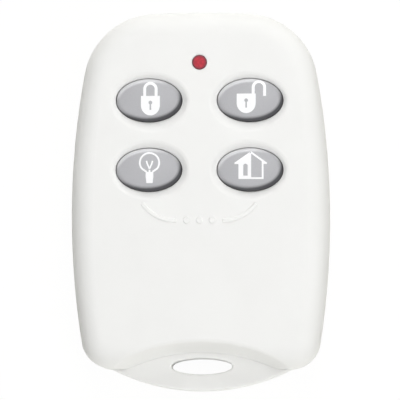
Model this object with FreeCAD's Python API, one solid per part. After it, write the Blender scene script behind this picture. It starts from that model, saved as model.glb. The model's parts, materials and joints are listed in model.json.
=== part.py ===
import FreeCAD, Part
import math
import os
from FreeCAD import Vector

# A four-key alarm remote that hangs on a key ring, lying on its back.
# X runs across it, Y along it towards the indicator, Z up through the keys.
# The origin is the middle of its length and width, on the back face. All sizes are in millimetres.

# Case outline, as seen from the keys' side
overall_length = 62.0
overall_width = 42.2
case_thickness = 14.5
side_bow_radius = 133.0
end_bow_radius = 164.0
widest_from_top = 33.4
upper_corner_radius = 12.0
lower_corner_radius = 4.9

# Case halves
back_height = 5.5
wall = 1.8
back_wall = 1.6
face_crown_radius = 380.0
front_edge_radius = 3.8
back_edge_radius = 2.0
back_rim_radius = 0.35
seam_height = 0.2
seam_depth = 0.25
lip_height = 1.2
lip_thickness = 0.9
lip_root = 1.2
lip_clearance = 0.12

# Catches that hold the upper end shut
catch_width = 3.0
catch_spacing = 10.0
catch_rise = 2.8
catch_nose_height = 0.8
catch_nose_depth = 0.5
catch_clearance = 0.15

# Arched cut-away above the strap tongue, and the tongue with its eye
arch_from_end = 6.3
arch_radius = 29.0
arch_flare = 0.18
arch_edge_radius = 0.8
tongue_drop = 3.6
tongue_from_side = 6.2
tongue_blend_radius = 1.5
eye_from_end = 4.05
eye_length = 10.0
eye_width = 2.65
eye_rim_radius = 0.35

# Keys and the dished wells that they stand in
key_length = 10.75
key_width = 7.05
key_spacing_across = 16.5
key_spacing_along = 11.4
upper_keys_from_top = 14.75
key_rise = 0.3
key_crown_radius = 30.0
key_edge_radius = 0.9
key_clearance = 0.1
key_travel = 0.9
key_flange_width = 0.6
key_flange_thickness = 0.9
key_skin = 1.5
well_margin_across = 0.95
well_margin_along = 1.3
well_depth = 0.65
well_floor_margin = 0.15
well_rim_radius = 0.9

# Deck and rib frame inside the front cover, which guide the keys and hold the mat
deck_above_mat = 3.7
deck_side_gap = 0.2
deck_corner_radius = 2.0
rib_thickness = 0.8

# Raised link between the two lower keys
link_height = 0.2
link_width = 0.7
link_edge_radius = 0.18
link_bend_radius = 6.6
link_outer_reach = 9.3
link_inner_reach = 3.75
link_outer_drop = 31.7
link_inner_drop = 34.45
pip_diameter = 1.1
pip_spacing = 2.1

# Indicator
indicator_from_top = 8.55
lens_diameter = 2.4
lens_flange_diameter = 3.4
lens_flange_thickness = 0.6
lens_boss_diameter = 5.2
lens_clearance = 0.04
lens_dome = 0.15
lens_gap = 0.3
led_length = 3.2
led_width = 1.6
led_height = 1.1

# Coin cell, its clip under it and its contact above it
cell_diameter = 20.0
cell_thickness = 3.2
cell_cap_diameter = 17.7
cell_cap_step = 0.25
cell_edge_radius = 0.5
cell_end_gap = 0.8
strip_thickness = 0.3
clip_width = 5.0
clip_side_gap = 0.4
clip_foot = 1.5
clip_floor_gap = 0.5
contact_diameter = 6.0
cradle_gap = 0.3
cradle_thickness = 0.8
cradle_height = 2.0
cradle_notch_gap = 0.5
rest_rib_thickness = 0.8
rest_rib_spacing = 2.6
rest_rib_length = 12.0

# Circuit board and what is soldered on it
board_thickness = 1.0
board_side_gap = 0.38
pad_thickness = 0.05
pad_finger_width = 0.35
pad_finger_gap = 0.25
pad_finger_length = 1.7
finger_count = 6
antenna_width = 1.2
antenna_thickness = 0.1
antenna_side_gap = 0.9
antenna_corner_radius = 2.2
chip_side_gap = 2.0
chip_length = 4.9
chip_width = 3.9
chip_height = 1.5
chip_stand = 0.12
lead_count = 8
lead_pitch = 1.27
lead_width = 0.42
lead_thickness = 0.2
lead_reach = 1.05
can_side_gap = 1.9
can_diameter = 8.4
can_flange_diameter = 9.3
can_flange_thickness = 0.5
can_height = 3.0
small_length = 2.0
small_width = 1.25
small_height = 0.55
small_rows = 3
small_row_pitch = 2.0
small_column_gap = 0.8

# Silicone mat under the keys
mat_thickness = 0.8
dome_height = 1.7
dome_wall = 0.45
dome_flare = 1.0
dome_seat = 0.3
plinth_margin = 1.2
plinth_foot_margin = 0.3
plinth_bond = 0.02
pill_length = 4.4
pill_width = 2.6
pill_thickness = 0.5
pill_end_gap = 0.02

# Screws, bosses and posts
screw_diameter = 1.9
screw_head_diameter = 3.8
screw_head_height = 1.4
screw_length = 7.4
screw_clearance = 0.25
screw_bite_clearance = 0.02
screw_recess_depth = 2.4
screw_recess_clearance = 0.2
screw_from_side = 7.5
screw_from_heel = 6.1
screw_drive_width = 0.5
screw_drive_length = 2.2
screw_drive_depth = 0.7
boss_diameter = 4.4
column_diameter = 5.8
post_diameter = 2.8
pin_diameter = 1.2
pin_clearance = 0.1
pin_short = 0.1
pin_side_gap = 0.5
pin_along_cell = 6.0
rest_post_from_top = 7.5
rest_post_spacing = 24.0

# Places along Y
top_y = overall_length / 2
end_y = -overall_length / 2
widest_y = top_y - widest_from_top
heel_y = end_y + tongue_drop
arch_y = end_y + arch_from_end - arch_radius
eye_y = end_y + eye_from_end
indicator_y = top_y - indicator_from_top
upper_row_y = top_y - upper_keys_from_top
lower_row_y = upper_row_y - key_spacing_along
deck_y = (upper_row_y + lower_row_y) / 2

# Heights in the stack, from the back face up
clip_bottom = back_wall + clip_floor_gap
cell_bottom = clip_bottom + strip_thickness
cell_top = cell_bottom + cell_thickness
board_bottom = cell_top + strip_thickness
board_top = board_bottom + board_thickness
mat_top = board_top + mat_thickness
deck_z = mat_top + deck_above_mat
pill_bottom = board_top + pad_thickness + key_travel + pill_end_gap
pill_top = pill_bottom + pill_thickness
plinth_bottom = mat_top + dome_height
flange_bottom = deck_z - key_flange_thickness

# Sizes that follow from the ones above
arch_inner_radius = arch_radius + arch_flare * lip_height + wall
board_inset = wall + lip_clearance + lip_thickness + board_side_gap
cell_y = arch_y + arch_inner_radius + lip_clearance + lip_thickness + cell_end_gap + cell_diameter / 2
deck_half_x = key_spacing_across / 2 + key_length / 2 + key_flange_width + deck_side_gap + rib_thickness
deck_half_y = key_spacing_along / 2 + key_width / 2 + key_flange_width + deck_side_gap + rib_thickness
screw_x = overall_width / 2 - screw_from_side
screw_y = heel_y + screw_from_heel
pin_x = cell_diameter / 2 + clip_side_gap + strip_thickness + pin_side_gap + pin_diameter / 2
pin_y = cell_y + pin_along_cell
rest_post_y = top_y - rest_post_from_top
tongue_half = overall_width / 2 - tongue_from_side
tongue_radius = (tongue_half**2 + tongue_drop**2) / (2 * tongue_drop)
least_radius = 0.3
overlap = 0.4

KEY_PLACES = {
    "lock": (-key_spacing_across / 2, upper_row_y),
    "unlock": (key_spacing_across / 2, upper_row_y),
    "light": (-key_spacing_across / 2, lower_row_y),
    "home": (key_spacing_across / 2, lower_row_y),
}


def disc(radius, x, y, bottom, top):
    """An upright cylinder."""
    return Part.makeCylinder(radius, top - bottom, Vector(x, y, bottom))


def block(x_size, y_size, x, y, bottom, top):
    """An upright box centred on (x, y)."""
    return Part.makeBox(x_size, y_size, top - bottom, Vector(x - x_size / 2, y - y_size / 2, bottom))


def oval_wire(length, width, x, y, z):
    """A level ellipse of that overall length across and width along."""
    if length >= width:
        curve = Part.Ellipse(Vector(x + length / 2, y, z), Vector(x, y + width / 2, z), Vector(x, y, z))
    else:
        curve = Part.Ellipse(Vector(x, y + width / 2, z), Vector(x - length / 2, y, z), Vector(x, y, z))
    return Part.Wire([curve.toShape()])


def oval(length, width, x, y, bottom, top):
    """An upright elliptical column."""
    return Part.Face(oval_wire(length, width, x, y, bottom)).extrude(Vector(0, 0, top - bottom))


def oval_cone(low, high, x, y, bottom, top):
    """A column that goes straight from the ellipse `low` to the ellipse `high`, each (length, width)."""
    wires = [oval_wire(low[0], low[1], x, y, bottom), oval_wire(high[0], high[1], x, y, top)]
    return Part.makeLoft(wires, True, True)


def upright_edges(solid):
    """The edges that run parallel to Z."""
    return [e for e in solid.Edges if abs(e.tangentAt(e.FirstParameter).z) > 0.999]


def rounded_block(half_x, half_y, radius, x, y, bottom, top):
    """An upright box with its four corners rounded in plan."""
    plain = block(2 * half_x, 2 * half_y, x, y, bottom, top)
    return plain.makeFillet(radius, upright_edges(plain))


def both_sides(solid):
    """The solid and its mirror image across the middle, as a list."""
    return [solid, solid.mirror(Vector(0, 0, 0), Vector(1, 0, 0))]


def outline(inset, bottom, top):
    """The case's plan without its tongue, drawn in by `inset` all round and raised to a block.

    Two bowed sides, a bowed upper end and a straight heel meet in four round corners."""
    side_x = side_bow_radius - overall_width / 2
    bows = both_sides(disc(side_bow_radius - inset, side_x, widest_y, bottom, top))
    end = disc(end_bow_radius - inset, 0, top_y - end_bow_radius, bottom, top)
    above_heel = block(
        2 * overall_width, 2 * overall_length, 0, heel_y + inset + overall_length, bottom, top
    )
    plan = bows[0].common(bows[1]).common(end).common(above_heel)
    upper = [e for e in upright_edges(plan) if e.CenterOfMass.y > widest_y]
    plan = plan.makeFillet(max(upper_corner_radius - inset, least_radius), upper)
    lower = [e for e in upright_edges(plan) if e.CenterOfMass.y < heel_y + inset + least_radius]
    return plan.makeFillet(max(lower_corner_radius - inset, least_radius), lower)


def crown_ball(raise_by):
    """The large ball whose top is the crowned face, with its poles and seam turned away from it."""
    ball = Part.makeSphere(face_crown_radius + raise_by)
    ball.rotate(Vector(0, 0, 0), Vector(1, 0, 0), 90)
    ball.translate(Vector(0, 0, case_thickness - face_crown_radius))
    return ball


def face_height(x, y):
    """Height of the crowned face over (x, y)."""
    drop = face_crown_radius - math.sqrt(face_crown_radius**2 - x**2 - y**2)
    return case_thickness - drop


def front_form(inset):
    """The front half's outside, or its inside when it is drawn in by a wall."""
    blank = outline(inset, back_height, case_thickness + overlap).common(crown_ball(-inset))
    crown = [f for f in blank.Faces if isinstance(f.Surface, Part.Sphere)][0]
    return blank.makeFillet(max(front_edge_radius - inset, least_radius), crown.OuterWire.Edges)


def arch_cone(grow):
    """The flared cutter of the arched cut-away, grown by a wall for the inside."""
    height = case_thickness - back_height
    low = arch_radius + grow - arch_flare * overlap
    high = arch_radius + grow + arch_flare * (height + overlap)
    return Part.makeCone(low, high, height + 2 * overlap, Vector(0, arch_y, back_height - overlap))


def cavity(inset, bottom, top):
    """The room inside the case, whose plan follows the walls and the arch, drawn in by `inset`."""
    return outline(wall + inset, bottom, top).cut(
        disc(arch_inner_radius + inset, 0, arch_y, bottom - overlap, top + overlap)
    )


def catch_zone(gap, bottom, top):
    """The room near the upper end that the two catches take, and `gap` more on each side."""
    zone = block(catch_width + 2 * gap, 4 * wall, catch_spacing / 2, top_y, bottom, top)
    return Part.makeCompound(both_sides(zone))


def link_arc(offset, z):
    """One edge of the raised link: an arc that bows away from the keys, `offset` from its middle."""
    start = Vector(-link_outer_reach, top_y - link_outer_drop, z)
    end = Vector(-link_inner_reach, top_y - link_inner_drop, z)
    chord = end - start
    rise = math.sqrt(link_bend_radius**2 - chord.Length**2 / 4)
    across = Vector(-chord.y, chord.x, 0).normalize()
    centre = (start + end) / 2 + across * rise
    middle = centre - across * link_bend_radius
    return [centre + (p - centre) * (1 + offset / link_bend_radius) for p in (start, middle, end)]


def soft_topped(raised):
    """A raised form with the edge around its crowned top rounded."""
    top = [f for f in raised.Faces if isinstance(f.Surface, Part.Sphere)][0]
    return raised.makeFillet(link_edge_radius, top.OuterWire.Edges)


def raised_link():
    """Two bowed ridges that point from the lower keys to three pips between them."""
    low = case_thickness - wall
    outer = link_arc(link_width / 2, low)
    inner = link_arc(-link_width / 2, low)
    edges = [
        Part.Arc(*outer).toShape(),
        Part.LineSegment(outer[2], inner[2]).toShape(),
        Part.Arc(*inner).toShape(),
        Part.LineSegment(inner[0], outer[0]).toShape(),
    ]
    height = wall + overlap
    ridge = Part.Face(Part.Wire(Part.__sortEdges__(edges))).extrude(Vector(0, 0, height))
    raised = both_sides(ridge)
    for step in (-1, 0, 1):
        pip_y = top_y - link_inner_drop
        raised.append(disc(pip_diameter / 2, step * pip_spacing, pip_y, low, low + height))
    return Part.makeCompound([soft_topped(r.common(crown_ball(link_height))) for r in raised])


def front_shell():
    """The front half's outer skin, hollow, with the arched cut-away and its rounded brow."""
    outside = front_form(0).cut(arch_cone(0))
    flare = [f for f in outside.Faces if isinstance(f.Surface, Part.Cone)][0]
    brow = [e for e in flare.Edges if e.CenterOfMass.z > back_height + least_radius]
    outside = outside.makeFillet(arch_edge_radius, brow)
    return outside.cut(front_form(wall).cut(arch_cone(wall)))


def well(x, y):
    """The cutter of one dished well, which narrows to just over the key's size."""
    floor = face_height(x, y) - well_depth
    low = (key_length + 2 * well_floor_margin, key_width + 2 * well_floor_margin)
    rim = (key_length + 2 * well_margin_across, key_width + 2 * well_margin_along)
    above = 1 + overlap / well_depth
    high = [a + (b - a) * above for a, b in zip(low, rim)]
    return oval_cone(low, high, x, y, floor, floor + well_depth + overlap)


def dished_face():
    """The shell with its key deck, and in it the four wells with their soft rims."""
    deck = rounded_block(
        deck_half_x, deck_half_y, deck_corner_radius, 0, deck_y, deck_z, case_thickness
    )
    face = front_shell().fuse(deck.common(front_form(wall / 2))).removeSplitter()
    face = face.cut([well(x, y) for x, y in KEY_PLACES.values()])
    rims = []
    for x, y in KEY_PLACES.values():
        rim_height = face_height(x, y) - well_depth / 2
        rims += [
            e
            for e in face.Edges
            if e.isClosed()
            and e.CenterOfMass.z > rim_height
            and abs(e.CenterOfMass.x - x) < well_margin_along
            and abs(e.CenterOfMass.y - y) < well_margin_along
        ]
    return face.makeFillet(well_rim_radius, rims)


def rib_frame():
    """The upright frame under the deck that presses the key mat's edge onto the board."""
    frame = rounded_block(
        deck_half_x, deck_half_y, deck_corner_radius, 0, deck_y, mat_top, deck_z + overlap
    )
    return frame.cut(
        rounded_block(
            deck_half_x - rib_thickness,
            deck_half_y - rib_thickness,
            deck_corner_radius - rib_thickness,
            0,
            deck_y,
            mat_top - overlap,
            deck_z + 2 * overlap,
        )
    )


def front_cover():
    """The dished face with its rib frame, lens boss, screw bosses, raised link and catch pockets."""
    inside = front_form(wall / 2)
    lens_boss = disc(lens_boss_diameter / 2, 0, indicator_y, deck_z, case_thickness)
    added = [rib_frame(), lens_boss]
    added += both_sides(disc(boss_diameter / 2, screw_x, screw_y, board_top, case_thickness))
    cover = dished_face().fuse([a.common(inside) for a in added] + [raised_link()])
    for x, y in KEY_PLACES.values():
        cover = cover.cut(
            oval(
                key_length + 2 * key_clearance,
                key_width + 2 * key_clearance,
                x,
                y,
                deck_z - overlap,
                case_thickness,
            )
        )
    lens_hole = disc(
        lens_diameter / 2 + lens_clearance, 0, indicator_y, deck_z - overlap, case_thickness
    )
    flange_room = disc(
        lens_flange_diameter / 2 + rib_thickness / 2, 0, indicator_y, mat_top - overlap, deck_z
    )
    bite = screw_diameter / 2 + screw_bite_clearance
    screw_tip = screw_recess_depth + screw_length
    pilots = both_sides(disc(bite, screw_x, screw_y, board_top - overlap, screw_tip + overlap))
    cover = cover.cut([lens_hole, flange_room, *pilots])
    nose = catch_nose_bottom() - catch_clearance
    pocket = outline(
        wall - catch_nose_depth - catch_clearance,
        nose,
        nose + catch_nose_height + 2 * catch_clearance,
    )
    cover = cover.cut(pocket.common(catch_zone(catch_clearance, nose, case_thickness)))
    seam = outline(-overlap, back_height - overlap, back_height + seam_height)
    seam = seam.cut(outline(seam_depth, back_height - 2 * overlap, case_thickness))
    return cover.cut(seam)


def catch_nose_bottom():
    """Height of the underside of each catch's nose."""
    return back_height + catch_rise - catch_nose_height


def tongue(bottom, top):
    """The bowed tongue at the lower end, as a block that reaches back into the case."""
    bow = disc(tongue_radius, 0, end_y + tongue_radius, bottom, top)
    reach = tongue_drop + overlap
    return bow.common(block(overall_width, reach, 0, end_y + reach / 2, bottom, top))


def back_form():
    """The back half's outside: the case's plan and its tongue with its eye, round at back and rim."""
    solid = outline(0, 0, back_height).fuse(tongue(0, back_height)).removeSplitter()
    corners = [e for e in upright_edges(solid) if abs(e.CenterOfMass.y - heel_y) < least_radius]
    kinks = sorted(corners, key=lambda e: abs(e.CenterOfMass.x))[:2]
    solid = solid.makeFillet(tongue_blend_radius, kinks)
    back = min(solid.Faces, key=lambda f: f.CenterOfMass.z)
    solid = solid.makeFillet(back_edge_radius, back.OuterWire.Edges)
    top = max(solid.Faces, key=lambda f: f.CenterOfMass.z)
    solid = solid.makeFillet(back_rim_radius, top.OuterWire.Edges)
    solid = solid.cut(eye(-overlap, back_height + overlap))
    rims = [e for e in solid.Edges if e.isClosed() and abs(e.CenterOfMass.y - eye_y) < least_radius]
    return solid.makeFillet(eye_rim_radius, rims)


def eye(bottom, top):
    """The strap eye: a flat oval right through the tongue."""
    return oval(eye_length, eye_width, 0, eye_y, bottom, top)


def catches():
    """Two upright tabs at the upper end, each with a nose that enters the front wall."""
    outer = wall + lip_clearance
    nose_bottom = catch_nose_bottom()
    tab_top = back_height + catch_rise
    tab = outline(outer, back_height - lip_root, tab_top).cut(
        outline(outer + lip_thickness, back_height - 2 * lip_root, tab_top + overlap)
    )
    nose = outline(wall - catch_nose_depth, nose_bottom, tab_top).cut(
        outline(outer + lip_thickness / 2, nose_bottom - overlap, tab_top + overlap)
    )
    zone = catch_zone(0, back_height - lip_root, tab_top)
    return [tab.common(zone), nose.common(zone)]


def back_cover():
    """The back shell with its tongue, locating lip, catches, cell cradle, columns and board posts."""
    cover = back_form()
    cover = cover.cut(cavity(0, back_wall, back_height + overlap))
    lip_top = back_height + lip_height
    lip = cavity(lip_clearance, back_height - lip_root, lip_top)
    lip = lip.cut(cavity(lip_clearance + lip_thickness, back_height - 2 * lip_root, lip_top + overlap))
    root = cavity(-overlap, back_height - lip_root, back_height)
    root = root.cut(
        cavity(lip_clearance + lip_thickness, back_height - 2 * lip_root, back_height + overlap)
    )
    cradle = disc(
        cell_diameter / 2 + cradle_gap + cradle_thickness,
        0,
        cell_y,
        back_wall - overlap,
        back_wall + cradle_height,
    )
    cradle = cradle.cut(
        disc(cell_diameter / 2 + cradle_gap, 0, cell_y, back_wall - overlap, back_height)
    )
    notch = clip_width + 2 * cradle_notch_gap
    cradle = cradle.cut(block(2 * cell_diameter, notch, 0, cell_y, 0, back_height))
    rests = [
        block(
            rest_rib_length,
            rest_rib_thickness,
            0,
            cell_y + side * rest_rib_spacing / 2,
            back_wall - overlap,
            clip_bottom,
        )
        for side in (-1, 1)
    ]
    columns = both_sides(
        disc(column_diameter / 2, screw_x, screw_y, back_wall - overlap, board_bottom)
    )
    posts = both_sides(disc(post_diameter / 2, pin_x, pin_y, back_wall - overlap, board_bottom))
    pins = both_sides(disc(pin_diameter / 2, pin_x, pin_y, board_bottom - overlap, board_top - pin_short))
    plain = both_sides(
        disc(
            post_diameter / 2,
            rest_post_spacing / 2,
            rest_post_y,
            back_wall - overlap,
            board_bottom,
        )
    )
    cover = cover.fuse([lip, root, *catches(), cradle, *rests, *columns, *posts, *pins, *plain])
    cover = cover.removeSplitter()
    for side in (-1, 1):
        x = side * screw_x
        through = disc(screw_diameter / 2 + screw_clearance, x, screw_y, -overlap, board_bottom + overlap)
        recess = disc(
            screw_head_diameter / 2 + screw_recess_clearance, x, screw_y, -overlap, screw_recess_depth
        )
        cover = cover.cut([through, recess])
    return cover


def case_screws():
    """Two self-tapping screws that go in from the back and draw the halves together."""
    screws = []
    head_bottom = screw_recess_depth - screw_head_height
    for side in (-1, 1):
        x = side * screw_x
        head = disc(screw_head_diameter / 2, x, screw_y, head_bottom, screw_recess_depth)
        rim = [e for e in head.Edges if e.BoundBox.ZMax < head_bottom + least_radius]
        head = head.makeFillet(screw_head_height / 3, rim)
        shank_top = screw_recess_depth + screw_length
        shank = disc(screw_diameter / 2, x, screw_y, screw_recess_depth - overlap, shank_top)
        tip = [e for e in shank.Edges if e.BoundBox.ZMin > shank_top - least_radius]
        shank = shank.makeChamfer(screw_diameter / 4, tip)
        slots = [
            block(a, b, x, screw_y, head_bottom - overlap, head_bottom + screw_drive_depth)
            for a, b in (
                (screw_drive_length, screw_drive_width),
                (screw_drive_width, screw_drive_length),
            )
        ]
        screws.append(head.fuse(shank).cut(slots).removeSplitter())
    return Part.makeCompound(screws)


def circuit_board():
    """The board, shaped to the case and the arch, with screw and pin holes."""
    board = outline(board_inset, board_bottom, board_top)
    arch = arch_inner_radius + board_inset - wall
    board = board.cut(disc(arch, 0, arch_y, board_bottom - overlap, board_top + overlap))
    holes = []
    for radius, x, y in (
        (screw_diameter / 2 + screw_clearance, screw_x, screw_y),
        (pin_diameter / 2 + pin_clearance, pin_x, pin_y),
    ):
        holes += both_sides(disc(radius, x, y, board_bottom - overlap, board_top + overlap))
    return board.cut(holes)


def contact_pads():
    """Under each key, two combs of gilt fingers that mesh without touching."""
    pitch = pad_finger_width + pad_finger_gap
    top = board_top + pad_thickness
    combs = []
    for x, y in KEY_PLACES.values():
        for side in (-1, 1):
            spine_y = y + side * (pad_finger_length / 2 + pad_finger_gap / 2 + pad_finger_width / 2)
            width = pitch * finger_count
            comb = block(width, pad_finger_width, x, spine_y, board_top, top)
            for n in range(finger_count):
                if (n % 2 == 0) == (side > 0):
                    finger_x = x + (n - (finger_count - 1) / 2) * pitch
                    root_y = spine_y - side * pad_finger_length / 2
                    comb = comb.fuse(
                        block(pad_finger_width, pad_finger_length, finger_x, root_y, board_top, top)
                    )
            combs.append(comb.removeSplitter())
    return Part.makeCompound(combs)


def aerial_reach():
    """(half width, lower y, upper y) of the outside of the printed aerial, on the board below the mat."""
    lower = screw_y + boss_diameter / 2 + antenna_side_gap
    upper = deck_y - deck_half_y - antenna_side_gap
    sag = side_bow_radius - math.sqrt(side_bow_radius**2 - (lower - widest_y) ** 2)
    half = overall_width / 2 - sag - board_inset - antenna_side_gap
    return half, lower, upper


def parts_row():
    """(half width, y) of the row in which the encoder, the small parts and the resonator stand."""
    half, lower, upper = aerial_reach()
    return half - antenna_width, (lower + antenna_width + upper) / 2


def antenna_loop():
    """The printed aerial: a flat copper track down one side of the parts, across, and up the other."""
    half, lower, upper = aerial_reach()
    top = board_top + antenna_thickness
    tall = upper - lower
    track = rounded_block(half, tall, antenna_corner_radius, 0, upper, board_top, top)
    inner = rounded_block(
        half - antenna_width,
        tall - antenna_width,
        antenna_corner_radius - antenna_width / 2,
        0,
        upper,
        board_top - overlap,
        top + overlap,
    )
    below_mat = block(overall_width, tall, 0, upper - tall / 2, board_top, top)
    return track.cut(inner).common(below_mat)


def chip_place():
    """Centre of the encoder chip on the board."""
    half, y = parts_row()
    return chip_side_gap + lead_reach + chip_width / 2 - half, y


def can_place():
    """Centre of the resonator can on the board."""
    half, y = parts_row()
    return half - can_side_gap - can_flange_diameter / 2, y


def encoder_chip():
    """The moulded body of the encoder chip, with its round pin-one mark."""
    x, y = chip_place()
    base = board_top + chip_stand
    lid = board_top + chip_height
    body = block(chip_width, chip_length, x, y, base, lid)
    edges = [e for e in body.Edges if e.BoundBox.ZMin > base + chip_stand]
    body = body.makeChamfer(lead_thickness, edges)
    mark_x = x - chip_width / 2 + lead_pitch / 2
    mark_y = y + chip_length / 2 - lead_pitch / 2
    return body.cut(disc(lead_width / 2, mark_x, mark_y, lid - lead_thickness / 2, lid + overlap))


def encoder_leads():
    """The chip's bent leads: out of the body, down, and flat on the board."""
    x, y = chip_place()
    rows = lead_count // 2
    leads = []
    knee = board_top + chip_height / 2
    for side in (-1, 1):
        for n in range(rows):
            lead_y = y + (n - (rows - 1) / 2) * lead_pitch
            root = x + side * chip_width / 2
            bend = root + side * lead_reach / 2
            back = bend - side * lead_thickness
            toe = root + side * lead_reach
            profile = [
                Vector(root, lead_y, knee + lead_thickness / 2),
                Vector(bend, lead_y, knee + lead_thickness / 2),
                Vector(bend, lead_y, board_top + lead_thickness),
                Vector(toe, lead_y, board_top + lead_thickness),
                Vector(toe, lead_y, board_top),
                Vector(back, lead_y, board_top),
                Vector(back, lead_y, knee - lead_thickness / 2),
                Vector(root, lead_y, knee - lead_thickness / 2),
            ]
            face = Part.Face(Part.makePolygon(profile + profile[:1]))
            face.translate(Vector(0, -lead_width / 2, 0))
            leads.append(face.extrude(Vector(0, lead_width, 0)))
    return Part.makeCompound(leads)


def resonator_can():
    """The round metal can of the radio resonator, on its flange."""
    x, y = can_place()
    flange = disc(can_flange_diameter / 2, x, y, board_top, board_top + can_flange_thickness)
    can = disc(can_diameter / 2, x, y, board_top, board_top + can_height)
    rim = [e for e in can.Edges if e.BoundBox.ZMin > board_top + can_height - least_radius]
    return flange.fuse(can.makeFillet(can_flange_thickness, rim)).removeSplitter()


def small_parts(side):
    """A column of chip resistors or capacitors, on one side of the middle between encoder and can."""
    chip_x, y = chip_place()
    chip_edge = chip_x + chip_width / 2 + lead_reach
    can_edge = can_place()[0] - can_flange_diameter / 2
    x = (chip_edge + can_edge) / 2 + side * (small_length + small_column_gap) / 2
    top = board_top + small_height
    parts = []
    for n in range(small_rows):
        row_y = y + (n - (small_rows - 1) / 2) * small_row_pitch
        part = block(small_length, small_width, x, row_y, board_top, top)
        ends = [e for e in part.Edges if e.BoundBox.ZMin > top - least_radius]
        parts.append(part.makeFillet(small_height / 6, ends))
    return Part.makeCompound(parts)


def indicator_led():
    """The light source on the board under the lens: a base with a moulded dome block."""
    top = board_top + led_height
    base = block(led_length, led_width, 0, indicator_y, board_top, board_top + led_height / 3)
    dome = block(led_length * 0.6, led_width * 0.9, 0, indicator_y, board_top, top)
    edges = [e for e in dome.Edges if e.BoundBox.ZMin > top - least_radius]
    return base.fuse(dome.makeFillet(led_height / 4, edges)).removeSplitter()


def indicator_lens():
    """The red light pipe, flush with the face, held by a flange under the deck."""
    bottom = board_top + led_height + lens_gap
    crest = face_height(0, indicator_y) + lens_dome
    rod = disc(lens_diameter / 2, 0, indicator_y, bottom, crest)
    rim = [e for e in rod.Edges if e.BoundBox.ZMin > crest - least_radius]
    rod = rod.makeFillet(lens_dome * 2, rim)
    flange = disc(lens_flange_diameter / 2, 0, indicator_y, deck_z - lens_flange_thickness, deck_z)
    return rod.fuse(flange).removeSplitter()


def coin_cell():
    """The coin cell: a can with round edges, and the smaller cap that faces the board."""
    can_top = cell_top - cell_cap_step
    can = disc(cell_diameter / 2, 0, cell_y, cell_bottom, can_top)
    rims = [e for e in can.Edges if isinstance(e.Curve, Part.Circle)]
    can = can.makeFillet(cell_edge_radius, rims)
    cap = disc(cell_cap_diameter / 2, 0, cell_y, cell_bottom + cell_thickness / 2, cell_top)
    rim = [e for e in cap.Edges if e.BoundBox.ZMin > cell_top - cell_cap_step / 2]
    return can.fuse(cap.makeFillet(cell_cap_step / 2, rim)).removeSplitter()


def battery_clip():
    """The spring strip under the cell, whose legs rise to feet soldered to the board."""
    inner = cell_diameter / 2 + clip_side_gap
    outer = inner + strip_thickness
    band = block(2 * outer, clip_width, 0, cell_y, clip_bottom, board_bottom)
    low = [e for e in band.Edges if abs(e.CenterOfMass.z - clip_bottom) < least_radius]
    across = [e for e in low if abs(e.tangentAt(e.FirstParameter).y) > 0.999]
    band = band.makeFillet(2 * strip_thickness, across)
    room = block(2 * inner, 2 * clip_width, 0, cell_y, clip_bottom + strip_thickness, board_top)
    low = [e for e in room.Edges if abs(e.CenterOfMass.z - cell_bottom) < least_radius]
    across = [e for e in low if abs(e.tangentAt(e.FirstParameter).y) > 0.999]
    band = band.cut(room.makeFillet(strip_thickness, across))
    feet = both_sides(
        block(
            clip_foot,
            clip_width,
            outer + clip_foot / 2 - strip_thickness / 2,
            cell_y,
            board_bottom - strip_thickness,
            board_bottom,
        )
    )
    return band.fuse(feet).removeSplitter()


def battery_contact():
    """The sprung disc between the cell's cap and the board."""
    ring = disc(contact_diameter / 2, 0, cell_y, cell_top, board_bottom)
    return ring.cut(disc(contact_diameter / 6, 0, cell_y, cell_top - overlap, board_bottom + overlap))


def plinth_size():
    """(length, width) of the silicone plinth that fills each key cap."""
    return key_length - 2 * plinth_margin, key_width - 2 * plinth_margin


def dome_size():
    """(length, width) of each dome's upper ring, outside."""
    length, width = plinth_size()
    return length - dome_seat, width - dome_seat


def key_mat():
    """The flat silicone sheet, with an oval opening for each dome."""
    sheet = rounded_block(deck_half_x, deck_half_y, deck_corner_radius, 0, deck_y, board_top, mat_top)
    sheet = sheet.common(outline(board_inset, board_top, mat_top))
    length, width = dome_size()
    spread = 2 * (dome_flare - dome_wall)
    for x, y in KEY_PLACES.values():
        sheet = sheet.cut(
            oval(length + spread, width + spread, x, y, board_top - overlap, mat_top + overlap)
        )
    return sheet


def key_dome(x, y):
    """The thin sloping silicone wall that carries a plinth and buckles when its key goes down."""
    length, width = dome_size()
    low = (length + 2 * dome_flare, width + 2 * dome_flare)
    outside = oval_cone(low, (length, width), x, y, mat_top, plinth_bottom)
    slimmer = [(a - 2 * dome_wall, b - 2 * dome_wall) for a, b in (low, (length, width))]
    return outside.cut(oval_cone(slimmer[0], slimmer[1], x, y, mat_top, plinth_bottom))


def key_plinth(x, y):
    """The silicone plinth: its head fills the cap, its foot carries the pill."""
    length, width = plinth_size()
    head = oval(length, width, x, y, plinth_bottom, plinth_top(x, y))
    foot = oval(
        pill_length + 2 * plinth_foot_margin,
        pill_width + 2 * plinth_foot_margin,
        x,
        y,
        pill_top,
        plinth_bottom + overlap,
    )
    return head.fuse(foot).removeSplitter()


def plinth_top(x, y):
    """Height of the plinth's head, which meets the roof of the cap's recess."""
    return face_height(x, y) + key_rise - key_skin


def carbon_pill(x, y):
    """The conductive pill under the plinth, which bridges the combs when the key is down."""
    return oval(pill_length, pill_width, x, y, pill_bottom, pill_top)


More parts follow.
